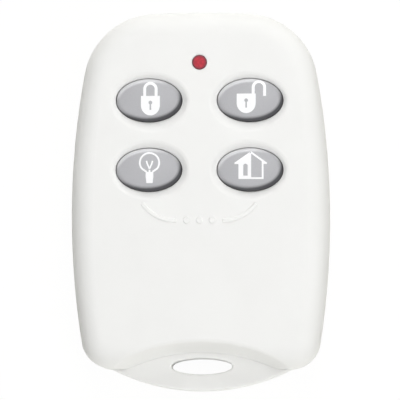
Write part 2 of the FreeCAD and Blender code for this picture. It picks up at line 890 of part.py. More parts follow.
def key_cap(x, y):
    """The hard oval cap: pillowed top, round edge, flange under the deck, recess for the plinth."""
    crest = face_height(x, y) + key_rise
    body = oval(key_length, key_width, x, y, flange_bottom, crest + overlap)
    ball = Part.makeSphere(key_crown_radius)
    ball.rotate(Vector(0, 0, 0), Vector(1, 0, 0), 90)
    ball.translate(Vector(x, y, crest - key_crown_radius))
    body = body.common(ball)
    crown = [f for f in body.Faces if isinstance(f.Surface, Part.Sphere)][0]
    body = body.makeFillet(key_edge_radius, crown.OuterWire.Edges)
    flange = oval(
        key_length + 2 * key_flange_width,
        key_width + 2 * key_flange_width,
        x,
        y,
        flange_bottom,
        deck_z,
    )
    length, width = plinth_size()
    recess = oval(
        length + 2 * plinth_bond,
        width + 2 * plinth_bond,
        x,
        y,
        flange_bottom - overlap,
        plinth_top(x, y),
    )
    return body.fuse(flange).cut(recess).removeSplitter()


def build():
    """Every named piece of the remote."""
    pieces = {
        "front_cover": front_cover(),
        "back_cover": back_cover(),
        "case_screws": case_screws(),
        "circuit_board": circuit_board(),
        "contact_pads": contact_pads(),
        "antenna_loop": antenna_loop(),
        "encoder_chip": encoder_chip(),
        "encoder_leads": encoder_leads(),
        "resonator_can": resonator_can(),
        "chip_resistors": small_parts(-1),
        "chip_capacitors": small_parts(1),
        "indicator_led": indicator_led(),
        "indicator_lens": indicator_lens(),
        "coin_cell": coin_cell(),
        "battery_clip": battery_clip(),
        "battery_contact": battery_contact(),
        "key_mat": key_mat(),
    }
    for name, (x, y) in KEY_PLACES.items():
        pieces["key_cap_" + name] = key_cap(x, y)
        pieces["key_plinth_" + name] = key_plinth(x, y)
        pieces["carbon_pill_" + name] = carbon_pill(x, y)
        pieces["key_dome_" + name] = key_dome(x, y)
    return pieces


os.makedirs("parts", exist_ok=True)
for name, piece in build().items():
    piece.exportStep("parts/" + name + ".step")
    print(name, piece.isValid(), len(piece.Solids), round(piece.Volume, 2))
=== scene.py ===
# %% [markdown]
# # A four-key alarm remote, dressed for its picture
#
# The remote lies on its back: X runs across it, Y along it towards the indicator, and Z up through
# the keys. Every moulded and stamped part comes finished from the CAD frame, at its real size in
# metres. What is left to make here is what a drawing office leaves to the paint shop and the
# printer: the skin of each plastic, the grain of each metal, the white signs printed on the keys,
# and the light that shows them.
#
# The first cell loads the frame and keeps its box, so that the last cell can print it beside the
# box of the dressed scene.

import json
import math

import bpy
import numpy as np
from mathutils import Matrix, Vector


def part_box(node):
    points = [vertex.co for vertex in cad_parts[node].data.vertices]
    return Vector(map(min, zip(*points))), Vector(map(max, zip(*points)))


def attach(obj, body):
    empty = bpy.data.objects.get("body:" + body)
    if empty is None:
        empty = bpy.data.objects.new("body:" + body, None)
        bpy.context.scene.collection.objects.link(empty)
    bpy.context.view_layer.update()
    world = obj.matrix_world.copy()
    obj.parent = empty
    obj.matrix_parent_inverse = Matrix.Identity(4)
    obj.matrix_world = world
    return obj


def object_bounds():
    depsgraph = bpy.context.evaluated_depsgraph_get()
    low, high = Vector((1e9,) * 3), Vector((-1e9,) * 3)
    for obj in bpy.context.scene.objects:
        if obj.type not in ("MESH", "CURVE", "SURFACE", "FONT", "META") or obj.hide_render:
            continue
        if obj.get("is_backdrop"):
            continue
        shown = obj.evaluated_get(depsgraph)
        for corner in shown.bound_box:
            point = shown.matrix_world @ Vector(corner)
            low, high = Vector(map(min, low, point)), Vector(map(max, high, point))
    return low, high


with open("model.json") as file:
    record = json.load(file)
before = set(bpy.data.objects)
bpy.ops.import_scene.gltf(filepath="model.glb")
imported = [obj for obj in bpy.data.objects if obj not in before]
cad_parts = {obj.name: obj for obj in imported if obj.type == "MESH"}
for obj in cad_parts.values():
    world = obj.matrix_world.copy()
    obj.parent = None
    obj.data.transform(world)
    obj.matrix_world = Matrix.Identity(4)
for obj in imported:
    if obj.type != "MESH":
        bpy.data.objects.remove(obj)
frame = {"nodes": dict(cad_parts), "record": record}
cad_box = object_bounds()
MM = 0.001
size = [round(v / MM, 2) for v in cad_box[1] - cad_box[0]]
print("frame:", len(frame["nodes"]), "nodes, size in mm", size)

# %% [markdown]
# ## Small tools for building materials
#
# Shader nodes are usually wired by hand in the node editor. In a script the same graph reads best
# as short calls, so `put` adds one node and fills its sockets, with either a plain value or a wire
# from another node, and `wire` links what comes out. Colours are written as a screen shows them,
# 0 to 255, and turned into the linear light that Cycles works in.

# %% Nodes and wires
def put(tree, kind, sockets=None, **settings):
    """Adds a node: settings are its properties, sockets maps an input to a value or a wire."""
    made = tree.nodes.new(kind)
    for name, value in settings.items():
        setattr(made, name, value)
    for key, value in (sockets or {}).items():
        if isinstance(value, bpy.types.NodeSocket):
            tree.links.new(value, made.inputs[key])
        else:
            made.inputs[key].default_value = value
    return made


def wire(tree, node, **sockets):
    """Links wires to a node's inputs, with underscores for the spaces in their names."""
    for socket, value in sockets.items():
        tree.links.new(value, node.inputs[socket.replace("_", " ")])


def place_on(tree):
    """The place of the shaded point, in the part's own metres."""
    return put(tree, "ShaderNodeTexCoord").outputs["Object"]


# %% Arithmetic on values and vectors
def maths(tree, operation, first, second=0.0, clamp=False):
    """One arithmetic step on values or wires."""
    values = {0: first, 1: second}
    return put(tree, "ShaderNodeMath", values, operation=operation, use_clamp=clamp).outputs[0]


def vectors(tree, operation, first, second=(0, 0, 0)):
    """One arithmetic step on vectors; returns the node's outputs."""
    sockets = {0: first, 1: second}
    return put(tree, "ShaderNodeVectorMath", sockets, operation=operation).outputs


def spread(tree, value, low, high, start, end):
    """A value between low and high becomes a smooth step from start to end."""
    sockets = {"Value": value, "From Min": low, "From Max": high, "To Min": start, "To Max": end}
    made = put(tree, "ShaderNodeMapRange", sockets, interpolation_type="SMOOTHSTEP")
    return made.outputs["Result"]


# %% Colours and relief
MIX_FIRST, MIX_SECOND, MIX_RESULT = 6, 7, 2


def srgb(red, green, blue):
    """The linear colour of a screen colour.

    linear = ((c + 0.055) / 1.055) to the power 2.4, and c / 12.92 near black, with c = value / 255.
    """
    c = np.array([red, green, blue]) / 255
    linear = np.where(c <= 0.04045, c / 12.92, ((c + 0.055) / 1.055) ** 2.4)
    return (*[float(v) for v in linear], 1.0)


def blended(tree, mask, first, second, blend_type="MIX"):
    """The first colour where the mask is 0 and the second where it is 1."""
    sockets = {"Factor": mask, MIX_FIRST: first, MIX_SECOND: second}
    made = put(tree, "ShaderNodeMix", sockets, data_type="RGBA", blend_type=blend_type)
    return made.outputs[MIX_RESULT]


def toned(tree, colour, *tones):
    """A colour multiplied by each tone in turn."""
    for tone in tones:
        colour = blended(tree, 1.0, colour, tone, "MULTIPLY")
    return colour


def relief(tree, height, depth):
    """A normal from a height between 0 and 1 and its real depth in metres."""
    sockets = {"Height": height, "Distance": depth, "Strength": 1.0}
    return put(tree, "ShaderNodeBump", sockets).outputs["Normal"]


WHITE = srgb(242, 242, 240)
print("white of the case in linear light", [round(v, 3) for v in WHITE])

# %% [markdown]
# ## Effects that several finishes share
#
# The same few things happen to many surfaces, so each is a node group, built once and given its
# own numbers in every material that uses it:
#
# - *moulded skin*: a steel mould is spark-eroded, and its fine pitted grain prints onto the
#   plastic;
# - *flecks*: pigment or filler grains that make a tone speckled;
# - *hand polish*: patches where fingers and pockets have rubbed the surface smoother;
# - *drawn lines*: fine scratches along the way that a metal was rolled, drawn or spun;
# - *height split*: a clean change of finish at one height, as at a cap or a printed layer;
# - *end caps*: the bright solder ends of a small ceramic part.
#
# Noise keeps mostly to a band around a half, so each group spreads its own band out to the values
# that it needs.

# %% Node group helpers
NOISE_BAND = (0.3, 0.7)


def new_group(name, inputs, outputs):
    """An empty shader group with float inputs {name: default}; returns it and its two ends."""
    group = bpy.data.node_groups.new(name, "ShaderNodeTree")
    for title, default in inputs.items():
        socket = group.interface.new_socket(title, in_out="INPUT", socket_type="NodeSocketFloat")
        socket.default_value = default
    for title in outputs:
        group.interface.new_socket(title, in_out="OUTPUT", socket_type="NodeSocketFloat")
    return group, put(group, "NodeGroupInput").outputs, put(group, "NodeGroupOutput")


def grain_noise(tree, size, detail, stretch=(1.0, 1.0, 1.0)):
    """Noise whose lumps are about size metres wide, before they are stretched."""
    mapping = {"Vector": place_on(tree), "Scale": stretch}
    stretched = put(tree, "ShaderNodeMapping", mapping).outputs["Vector"]
    scale = maths(tree, "DIVIDE", 1.0, size)
    noise = {"Vector": stretched, "Scale": scale, "Detail": detail}
    return put(tree, "ShaderNodeTexNoise", noise).outputs["Fac"]


# %% Moulded skin
FLOW_TONE = (0.985, 1.0)
FLOW_ROUGHNESS = (-0.02, 0.03)

socket_names = ("Height", "Tone", "Roughness")
skin, ends, out = new_group("moulded_skin", {"Grain": 0.1 * MM, "Flow": 10 * MM}, socket_names)
fine = grain_noise(skin, ends["Grain"], 2.0)
broad = grain_noise(skin, ends["Flow"], 3.0)
wire(
    skin,
    out,
    Height=spread(skin, fine, *NOISE_BAND, 0.0, 1.0),
    Tone=spread(skin, broad, *NOISE_BAND, *FLOW_TONE),
    Roughness=spread(skin, broad, *NOISE_BAND, *FLOW_ROUGHNESS),
)
print("group:", skin.name)

# %% Flecks
FLECK_BAND = (0.35, 0.65)

flecks, ends, out = new_group("flecks", {"Size": 0.2 * MM, "Contrast": 0.05}, ("Tone",))
lumps = spread(flecks, grain_noise(flecks, ends["Size"], 1.0), *FLECK_BAND, -1.0, 0.0)
dark = maths(flecks, "MULTIPLY", lumps, ends["Contrast"])
wire(flecks, out, Tone=maths(flecks, "ADD", dark, 1.0))
print("group:", flecks.name)

# %% Hand polish
POLISH_BAND = (0.42, 0.68)

polish, ends, out = new_group("hand_polish", {"Patch": 6 * MM, "Amount": 0.08}, ("Roughness",))
patches = spread(polish, grain_noise(polish, ends["Patch"], 4.0), *POLISH_BAND, 0.0, -1.0)
wire(polish, out, Roughness=maths(polish, "MULTIPLY", patches, ends["Amount"]))
print("group:", polish.name)

# %% Drawn lines
LINE_STRETCH = (0.06, 1.0, 1.0)
LINE_ROUGHNESS = (0.08, -0.04)

lines, ends, out = new_group("drawn_lines", {"Line": 0.3 * MM, "Contrast": 0.2}, socket_names)
scratch = grain_noise(lines, ends["Line"], 3.0, LINE_STRETCH)
dim = maths(lines, "MULTIPLY", spread(lines, scratch, *NOISE_BAND, -1.0, 0.0), ends["Contrast"])
wire(
    lines,
    out,
    Height=scratch,
    Tone=maths(lines, "ADD", dim, 1.0),
    Roughness=spread(lines, scratch, *NOISE_BAND, *LINE_ROUGHNESS),
)
print("group:", lines.name)

# %% Height split
split, ends, out = new_group("height_split", {"Height": 0.0, "Softness": 0.02 * MM}, ("Above",))
level = put(split, "ShaderNodeSeparateXYZ", {0: place_on(split)}).outputs["Z"]
over = maths(split, "SUBTRACT", level, ends["Height"])
over = maths(split, "DIVIDE", over, ends["Softness"])
wire(split, out, Above=maths(split, "ADD", over, 0.5, clamp=True))
print("group:", split.name)

# %% End caps
caps, ends, out = new_group("end_caps", {"Middle": 0.0, "Inner": 0.6 * MM}, ("Tinned",))
across = put(caps, "ShaderNodeSeparateXYZ", {0: place_on(caps)}).outputs["X"]
away = maths(caps, "ABSOLUTE", maths(caps, "SUBTRACT", across, ends["Middle"]))
wire(caps, out, Tinned=maths(caps, "GREATER_THAN", away, ends["Inner"]))
print("group:", caps.name)

# %% [markdown]
# ## Materials start from one base
#
# Every finish is a Principled BSDF. Numbers that are the same all over go straight onto its
# sockets, and only what changes over the surface is wired in. `finish` makes the base and `use`
# places a shared group.

# %% Material helpers
def finish(name, roughness, **plain):
    """A new Principled material; plain holds further sockets, with underscores for spaces."""
    material = bpy.data.materials.new(name)
    material.use_nodes = True
    tree = material.node_tree
    shader = tree.nodes["Principled BSDF"]
    shader.inputs["Roughness"].default_value = roughness
    for socket, value in plain.items():
        shader.inputs[socket.replace("_", " ")].default_value = value
    return material, tree, shader


def use(tree, group, **values):
    """Places a shared group in a material and returns its outputs."""
    made = put(tree, "ShaderNodeGroup", node_tree=group)
    for socket, value in values.items():
        made.inputs[socket].default_value = value
    return made.outputs


# %% [markdown]
# ## White ABS of the two covers
#
# Both halves are moulded in the same white ABS. The front half comes out of a finely eroded mould
# and is rubbed a little smoother by use; the back half has a coarser grain, which hides scratches
# from the table. The grain is real relief, so it is a bump of a few thousandths of a millimetre
# and not a painted pattern. White ABS is a little translucent, so light spreads under its skin for
# half a millimetre or so, all colours alike, and softens the edges of narrow shadows.

# %% White ABS
UNDER_THE_SKIN = {
    "Subsurface_Weight": 0.5,
    "Subsurface_Scale": 0.4 * MM,
    "Subsurface_Radius": (1.0, 1.0, 1.0),
}


def moulded_abs(name, grain, depth, roughness, polish_amount):
    """White ABS with a spark-eroded skin: grain size and depth in metres."""
    material, tree, shader = finish(name, roughness, Specular_IOR_Level=0.35, **UNDER_THE_SKIN)
    surface = use(tree, skin, Grain=grain, Flow=9 * MM)
    rubbed = use(tree, polish, Patch=5 * MM, Amount=polish_amount)
    uneven = maths(tree, "ADD", surface["Roughness"], rubbed["Roughness"])
    wire(
        tree,
        shader,
        Base_Color=toned(tree, WHITE, surface["Tone"]),
        Roughness=maths(tree, "ADD", uneven, roughness),
        Normal=relief(tree, surface["Height"], depth),
    )
    return material


front_white = moulded_abs("front_white_abs", 0.09 * MM, 0.002 * MM, 0.48, 0.06)
back_white = moulded_abs("back_white_abs", 0.16 * MM, 0.006 * MM, 0.58, 0.03)
print("white ABS:", front_white.name, back_white.name)

# %% [markdown]
# ## Sprayed key caps
#
# The caps are a satin grey lacquer. A charcoal crescent of painted shade lies on their lower and
# right flanks, which face away from the light, and a lighter band of painted highlight lies on the
# flanks that face the upper left. How squarely a spot faces each of the two directions is the dot
# product of its normal, in Object space, with that direction.

# %% Key paint with painted shade and painted highlight
# Directions and ranges of the painted shade and the painted highlight on the keys.
PAINTED_SHADE_FROM = (-0.55, 0.74, 0.38)
PAINTED_HIGHLIGHT_FROM = (-0.45, 0.72, 0.52)
PAINTED_SHADE_FADES = (-0.22, 0.38)
PAINTED_HIGHLIGHT_GROWS = (0.62, 0.86)
PAINTED_SHADE_CHARCOAL = srgb(76, 76, 79)
LACQUER_GREY = srgb(183, 183, 186)
PAINTED_HIGHLIGHT_GREY = srgb(218, 218, 220)
LACQUER_ROUGHNESS = 0.42
LACQUER_METALLIC = 0.25


def key_paint_with_painted_light():
    """Grey lacquer with a painted highlight to the upper left and painted charcoal shade below."""
    roughness = LACQUER_ROUGHNESS
    material, tree, shader = finish("key_satin_grey", roughness, Specular_IOR_Level=0.3)
    normal = put(tree, "ShaderNodeTexCoord").outputs["Normal"]
    first = vectors(tree, "DOT_PRODUCT", normal, PAINTED_SHADE_FROM)["Value"]
    second = vectors(tree, "DOT_PRODUCT", normal, PAINTED_HIGHLIGHT_FROM)["Value"]
    # Painted shade: flanks facing away from the first direction turn charcoal; painted highlight:
    # flanks facing the second turn light grey.
    painted_shade = spread(tree, first, *PAINTED_SHADE_FADES, 1.0, 0.0)
    painted_highlight = spread(tree, second, *PAINTED_HIGHLIGHT_GROWS, 0.0, 1.0)
    fleck = use(tree, flecks, Size=0.09 * MM, Contrast=0.07)
    surface = use(tree, skin, Grain=0.07 * MM, Flow=4 * MM)
    rubbed = use(tree, polish, Patch=2.5 * MM, Amount=0.06)
    lacquer_and_highlight = blended(tree, painted_highlight, LACQUER_GREY, PAINTED_HIGHLIGHT_GREY)
    painted = toned(tree, lacquer_and_highlight, fleck["Tone"], surface["Tone"])
    outside_painted_shade = maths(tree, "SUBTRACT", 1.0, painted_shade)
    wire(
        tree,
        shader,
        Base_Color=blended(tree, painted_shade, painted, PAINTED_SHADE_CHARCOAL),
        Metallic=maths(tree, "MULTIPLY", outside_painted_shade, LACQUER_METALLIC),
        Roughness=maths(tree, "ADD", rubbed["Roughness"], LACQUER_ROUGHNESS),
        Normal=relief(tree, surface["Height"], 0.0015 * MM),
    )
    return material


key_grey = key_paint_with_painted_light()
print("key paint:", key_grey.name)

# %% [markdown]
# ## Red light pipe
#
# The indicator is a clear red acrylic pin. Its middle is painted brighter, a painted glow of the
# LED below, and its rim is painted darker, as painted shade from its own bore. That radial change
# is measured from the pin's axis, which comes from the frame.

# %% Red acrylic
LENS_RADIUS = 1.2 * MM
# Where the painted rim shade starts and ends, as shares of the pin's radius.
RIM_SHADE_STARTS, RIM_SHADE_ENDS = 0.55, 0.95
LENS_GLOW = srgb(193, 31, 53)
LENS_RIM_SHADE = srgb(128, 44, 58)


def lens_red(middle):
    """Red acrylic with a painted glow in the middle and painted rim shade; middle is a point of the
    pin's axis.
    """
    material, tree, shader = finish("lens_red_acrylic", 0.18, Coat_Weight=0.2, Coat_Roughness=0.08)
    centred = vectors(tree, "SUBTRACT", place_on(tree), middle)[0]
    flat = vectors(tree, "MULTIPLY", centred, (1, 1, 0))[0]
    away = vectors(tree, "LENGTH", flat)["Value"]
    # Painted shade: the red darkens towards the rim; the brighter middle is a painted glow.
    rim_shade = spread(tree, away, LENS_RADIUS * RIM_SHADE_STARTS, LENS_RADIUS * RIM_SHADE_ENDS, 0.0, 1.0)
    cloudy = use(tree, flecks, Size=0.4 * MM, Contrast=0.25)
    glow = toned(tree, LENS_GLOW, cloudy["Tone"])
    wire(tree, shader, Base_Color=blended(tree, rim_shade, glow, LENS_RIM_SHADE))
    return material


lens_low, lens_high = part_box("indicator_lens")
lens_middle = (lens_low + lens_high) / 2
lens_material = lens_red(tuple(lens_middle))
print("lens axis in mm", round(lens_middle.x / MM, 3), round(lens_middle.y / MM, 3))

# %% [markdown]
# ## Rubber parts under the keys
#
# The key mat, its domes and the plinths are one translucent silicone moulding, slightly dusty to
# the eye. The pills that close each contact are the same rubber filled with carbon, so they are
# black and matt. The encoder's black epoxy is no rubber, but it has the same kind of skin.

# %% Silicone, carbon rubber and epoxy
def rubber(name, colour, roughness, fleck_size, contrast, grain_depth):
    """A matt moulding with a soft tone, fine flecks and a grained skin."""
    material, tree, shader = finish(name, roughness, Specular_IOR_Level=0.35)
    surface = use(tree, skin, Grain=0.12 * MM, Flow=3 * MM)
    fleck = use(tree, flecks, Size=fleck_size, Contrast=contrast)
    wire(
        tree,
        shader,
        Base_Color=toned(tree, colour, surface["Tone"], fleck["Tone"]),
        Roughness=maths(tree, "ADD", surface["Roughness"], roughness),
        Normal=relief(tree, surface["Height"], grain_depth),
    )
    return material


silicone = rubber("silicone_grey", srgb(206, 207, 204), 0.62, 0.15 * MM, 0.06, 0.003 * MM)
carbon = rubber("carbon_rubber", srgb(30, 30, 31), 0.8, 0.05 * MM, 0.35, 0.004 * MM)
black_epoxy = rubber("black_epoxy", srgb(36, 36, 37), 0.55, 0.05 * MM, 0.25, 0.002 * MM)
print("matt mouldings:", silicone.name, carbon.name, black_epoxy.name)

# %% [markdown]
# ## The circuit board
#
# Green solder mask is a thin gloss film over copper tracks, so the tracks show as lighter green
# lines that stand up a little. A Brick texture gives straight tracks on the usual grid of 1.27 mm;
# its mortar is the track. The contact pads are bare gold plate, and the aerial is copper under the
# same mask.

# %% Solder mask
TRACK_PITCH = 1.27 * MM
TRACK_WIDTH = 0.13 * MM
TRACK_HEIGHT = 0.03 * MM
MASK_GREEN = srgb(18, 84, 40)
TRACK_GREEN = srgb(38, 118, 58)


def solder_mask():
    """Green mask over a grid of tracks, with the weave of the laminate as a faint tone."""
    material, tree, shader = finish("solder_mask_green", 0.3, Coat_Weight=0.4, Coat_Roughness=0.15)
    grid = {
        "Vector": place_on(tree),
        "Scale": 1.0,
        "Brick Width": 4 * TRACK_PITCH,
        "Row Height": TRACK_PITCH,
        "Mortar Size": TRACK_WIDTH,
        "Mortar Smooth": 0.1,
    }
    track = put(tree, "ShaderNodeTexBrick", grid, offset=0.5, squash=1.0).outputs["Fac"]
    weave = use(tree, flecks, Size=0.35 * MM, Contrast=0.12)
    green = blended(tree, track, MASK_GREEN, TRACK_GREEN)
    raised = relief(tree, track, TRACK_HEIGHT)
    wire(tree, shader, Base_Color=toned(tree, green, weave["Tone"]), Normal=raised)
    return material


board_green = solder_mask()
print("board:", board_green.name)

# %% [markdown]
# ## Metals
#
# All the metals share one recipe: fully metallic, with fine drawn lines that vary the tone, the
# roughness and the relief. Only colour, line width and roughness differ between gold plate,
# copper, tin, drawn steel, spring strip and zinc plate.

# %% Metal finishes
FLECK_TO_LINE = 6


def metal(name, colour, roughness, line, contrast, depth):
    """A metal with drawn lines: line width and depth in metres."""
    material, tree, shader = finish(name, roughness, Metallic=1.0)
    drawn = use(tree, lines, Line=line, Contrast=contrast)
    fleck = use(tree, flecks, Size=FLECK_TO_LINE * line, Contrast=0.06)
    wire(
        tree,
        shader,
        Base_Color=toned(tree, colour, drawn["Tone"], fleck["Tone"]),
        Roughness=maths(tree, "ADD", drawn["Roughness"], roughness),
        Normal=relief(tree, drawn["Height"], depth),
    )
    return material


# Each slot's name, colour, roughness, line width, contrast and depth.
METALS = {
    "gilt": ("gold_plate", srgb(236, 194, 110), 0.22, 0.05 * MM, 0.08, 0.0004 * MM),
    "copper": ("copper_print", srgb(120, 128, 60), 0.35, 0.08 * MM, 0.1, 0.0006 * MM),
    "tinned": ("bright_tin", srgb(214, 214, 210), 0.28, 0.06 * MM, 0.1, 0.001 * MM),
    "can_steel": ("drawn_can_steel", srgb(206, 205, 200), 0.3, 0.12 * MM, 0.15, 0.0015 * MM),
    "spring_steel": ("spring_strip", srgb(218, 218, 214), 0.2, 0.05 * MM, 0.1, 0.0008 * MM),
    "screw_steel": ("zinc_plate", srgb(188, 190, 192), 0.34, 0.09 * MM, 0.2, 0.002 * MM),
}
metals = {slot: metal(*values) for slot, values in METALS.items()}
print("metals:", sorted(metals))

# %% [markdown]
# ## The coin cell
#
# A coin cell is a plated can with a slightly smaller cap, held apart by a thin dark gasket. One
# height split above and one below the gasket leave a dark ring, and the rest is steel.

# %% Coin cell
CELL_CAP_STEP = 0.25 * MM
GASKET_STARTS = 0.3 * CELL_CAP_STEP
CELL_STEEL = srgb(214, 214, 212)
GASKET_BLACK = srgb(40, 40, 42)
CELL_ROUGHNESS = 0.26


def cell_finish(gasket_bottom, gasket_top):
    """Plated steel with a dark gasket between two heights in metres."""
    material, tree, shader = finish("cell_nickel", CELL_ROUGHNESS)
    above = use(tree, split, Height=gasket_bottom)["Above"]
    beyond = use(tree, split, Height=gasket_top)["Above"]
    gasket = maths(tree, "SUBTRACT", above, beyond, clamp=True)
    drawn = use(tree, lines, Line=0.07 * MM, Contrast=0.12)
    steel = toned(tree, CELL_STEEL, drawn["Tone"])
    wire(
        tree,
        shader,
        Base_Color=blended(tree, gasket, steel, GASKET_BLACK),
        Metallic=maths(tree, "SUBTRACT", 1.0, gasket),
        Roughness=maths(tree, "ADD", drawn["Roughness"], CELL_ROUGHNESS),
        Normal=relief(tree, drawn["Height"], 0.0006 * MM),
    )
    return material


cell_low, cell_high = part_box("coin_cell")
cell_nickel = cell_finish(cell_low.z + GASKET_STARTS, cell_low.z + CELL_CAP_STEP)
print("coin cell between", round(cell_low.z / MM, 2), "and", round(cell_high.z / MM, 2), "mm")

# %% [markdown]
# ## Ceramic chips and the LED
#
# Chip resistors and capacitors are ceramic blocks with tinned ends, so the end-cap group picks the
# metal from the distance to the column's middle. The LED is a white body with a clear, slightly
# warm resin on top.

# %% Chip and LED finishes
TIN = srgb(210, 210, 206)
TINNED_FROM = 0.29
TIN_SMOOTHER = 0.15
LED_WHITE = srgb(236, 234, 228)
LED_RESIN = srgb(226, 208, 170)
LED_BODY_SHARE = 0.45


def chip_ceramic(name, colour, roughness, node):
    """Ceramic with tinned ends; the node's own box gives the middle and the length."""
    low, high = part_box(node)
    material, tree, shader = finish(name, roughness)
    inner = (high.x - low.x) * TINNED_FROM
    tinned = use(tree, caps, Middle=(low.x + high.x) / 2, Inner=inner)["Tinned"]
    fleck = use(tree, flecks, Size=0.06 * MM, Contrast=0.15)
    smoother = maths(tree, "MULTIPLY", tinned, TIN_SMOOTHER)
    wire(
        tree,
        shader,
        Base_Color=toned(tree, blended(tree, tinned, colour, TIN), fleck["Tone"]),
        Metallic=tinned,
        Roughness=maths(tree, "SUBTRACT", roughness, smoother),
    )
    return material


def led_body(base_top):
    """White body up to base_top, warm clear resin above it."""
    material, tree, shader = finish("led_resin", 0.25, Coat_Weight=0.6)
    resin = use(tree, split, Height=base_top)["Above"]
    cloud = use(tree, flecks, Size=0.2 * MM, Contrast=0.08)
    body = blended(tree, resin, LED_WHITE, LED_RESIN)
    wire(tree, shader, Base_Color=toned(tree, body, cloud["Tone"]))
    return material


black_chip = chip_ceramic("resistor_black", srgb(34, 34, 38), 0.35, "chip_resistors")
tan_chip = chip_ceramic("capacitor_tan", srgb(168, 140, 104), 0.55, "chip_capacitors")
led_low, led_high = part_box("indicator_led")
led_resin = led_body(led_low.z + LED_BODY_SHARE * (led_high.z - led_low.z))
print("small parts:", black_chip.name, tan_chip.name, led_resin.name)

# %% [markdown]
# ## Dress the CAD parts
#
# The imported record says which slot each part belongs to. Parts keep their meshes and their places,
# and only the material in their slot is changed. The two covers share the slot but not the grain,
# so the front and the back are named here by themselves.

# %% Give every CAD part its finish
FINISHES = {
    "keys": key_grey,
    "lens": lens_material,
    "silicone": silicone,
    "carbon": carbon,
    "board": board_green,
    "black_moulding": black_epoxy,
    "ceramic_black": black_chip,
    "ceramic_tan": tan_chip,
    "led_resin": led_resin,
    "cell_steel": cell_nickel,
    **metals,
}
OWN_FINISH = {"front_cover": front_white, "back_cover": back_white}
slot_of = {part["node"]: part["material_slot"] for part in frame["record"]["subparts"]}
for node, body in frame["nodes"].items():
    body.material_slots[0].material = OWN_FINISH.get(node) or FINISHES[slot_of[node]]
print("dressed", len(frame["nodes"]), "parts with", len(bpy.data.materials), "materials")

# %% [markdown]
# ## Signs printed on the keys
#
# Each key carries a white sign, pad-printed onto its crown: a closed padlock, an open padlock, a
# light bulb and a house. The pad sets them all a hair to the right of the keys' middles, as such
# pads do. A print follows the surface that it lies on, so each sign is first drawn flat, as strips
# between two curves, and then pressed down onto its own key. A strip is a grid: a point is a share
# of the way from the first curve to the second. That way a ring, a stroke and a filled shape with
# a hole are all the same few lines of numpy, and the grid is fine enough to bend over the key's
# rounded edge.
#
# The curves come first. They are drawn in millimetres from the middle of the key.

# %% Curves in the plane
def sides(corners, steps, closed=True):
    """Points along straight sides: each side is cut into steps equal parts."""
    corners = np.array(corners, float)
    ends = np.roll(corners, -1, axis=0) if closed else corners[1:]
    starts = corners if closed else corners[:-1]
    share = np.linspace(0, 1, steps, endpoint=False)
    points = starts[:, None] + (ends - starts)[:, None] * share[None, :, None]
    points = points.reshape(-1, 2)
    return points if closed else np.vstack([points, corners[-1:]])


def arc(centre, radius, start, end, count):
    """Points of a circle from start to end in degrees; radius may be (across, along)."""
    angle = np.radians(np.linspace(start, end, count))
    across, along = np.broadcast_to(radius, 2)
    points = [centre[0] + across * np.cos(angle), centre[1] + along * np.sin(angle)]
    return np.stack(points, axis=1)


def evenly(points, count, closed=True):
    """The same line with count points at even distances along it."""
    points = np.vstack([points, points[:1]]) if closed else np.array(points)
    length = np.concatenate([[0], np.cumsum(np.hypot(*np.diff(points, axis=0).T))])
    at = np.linspace(0, length[-1], count, endpoint=not closed)
    return np.stack([np.interp(at, length, points[:, i]) for i in range(2)], axis=1)


def stroke(path, width):
    """The two edges of a stroke: the path moved half the width to either side."""
    along = np.gradient(path, axis=0)
    normal = np.stack([-along[:, 1], along[:, 0]], axis=1) / np.hypot(*along.T)[:, None]
    return path + normal * width / 2, path - normal * width / 2


print("a quarter circle in 3 points", arc((0, 0), 1, 0, 90, 3).round(2).tolist())


# %% Strips between two curves
def strip(first, second, rows=4, closed=False):
    """A grid of quads between two curves: point = first + (second - first) * share."""
    share = np.linspace(0, 1, rows)[None, :, None]
    points = first[:, None] * (1 - share) + second[:, None] * share
    points = points.reshape(-1, 2)
    index = np.arange(len(first) * rows).reshape(-1, rows)
    index = np.vstack([index, index[:1]]) if closed else index
    corners = [index[:-1, :-1], index[1:, :-1], index[1:, 1:], index[:-1, 1:]]
    quads = np.stack(corners, axis=-1).reshape(-1, 4)
    a, b, c = (points[quads[:, i]] for i in (0, 1, 2))
    turn = np.sum((b - a)[:, 0] * (c - a)[:, 1] - (b - a)[:, 1] * (c - a)[:, 0])
    return points, quads if turn > 0 else quads[:, ::-1]


ring = strip(arc((0, 0), 2, 0, 90, 5), arc((0, 0), 1, 0, 90, 5))
print("a quarter of a ring has", len(ring[1]), "quads")

# %% [markdown]
# Printing ink is a thin opaque film with a slightly uneven tone, a little glossier than the paint
# below it.

# %% Printing ink
INK_WHITE = srgb(250, 250, 251)
INK_ROUGHNESS = 0.4


def ink():
    """White pad-printing ink."""
    material, tree, shader = finish("print_white", INK_ROUGHNESS)
    surface = use(tree, skin, Grain=0.05 * MM, Flow=1.5 * MM)
    wire(
        tree,
        shader,
        Base_Color=toned(tree, INK_WHITE, surface["Tone"]),
        Roughness=maths(tree, "ADD", surface["Roughness"], INK_ROUGHNESS),
        Normal=relief(tree, surface["Height"], 0.001 * MM),
    )
    return material


print_white = ink()
print("ink:", print_white.name)

# %% [markdown]
# ### Pressing a sign onto its key
#
# A flat sign is set above its key and projected straight down onto the cap, where it stands a few
# thousandths of a millimetre proud. It is then given a thickness that reaches into the cap, so
# that no edge of it hangs free, and it rides on the key's body.

# %% Press and print
PRINT_STAND = 0.008 * MM
PRINT_DEPTH = 0.02 * MM
PRINT_OFFSET = 0.13 * MM
PRESS_FROM = 1 * MM


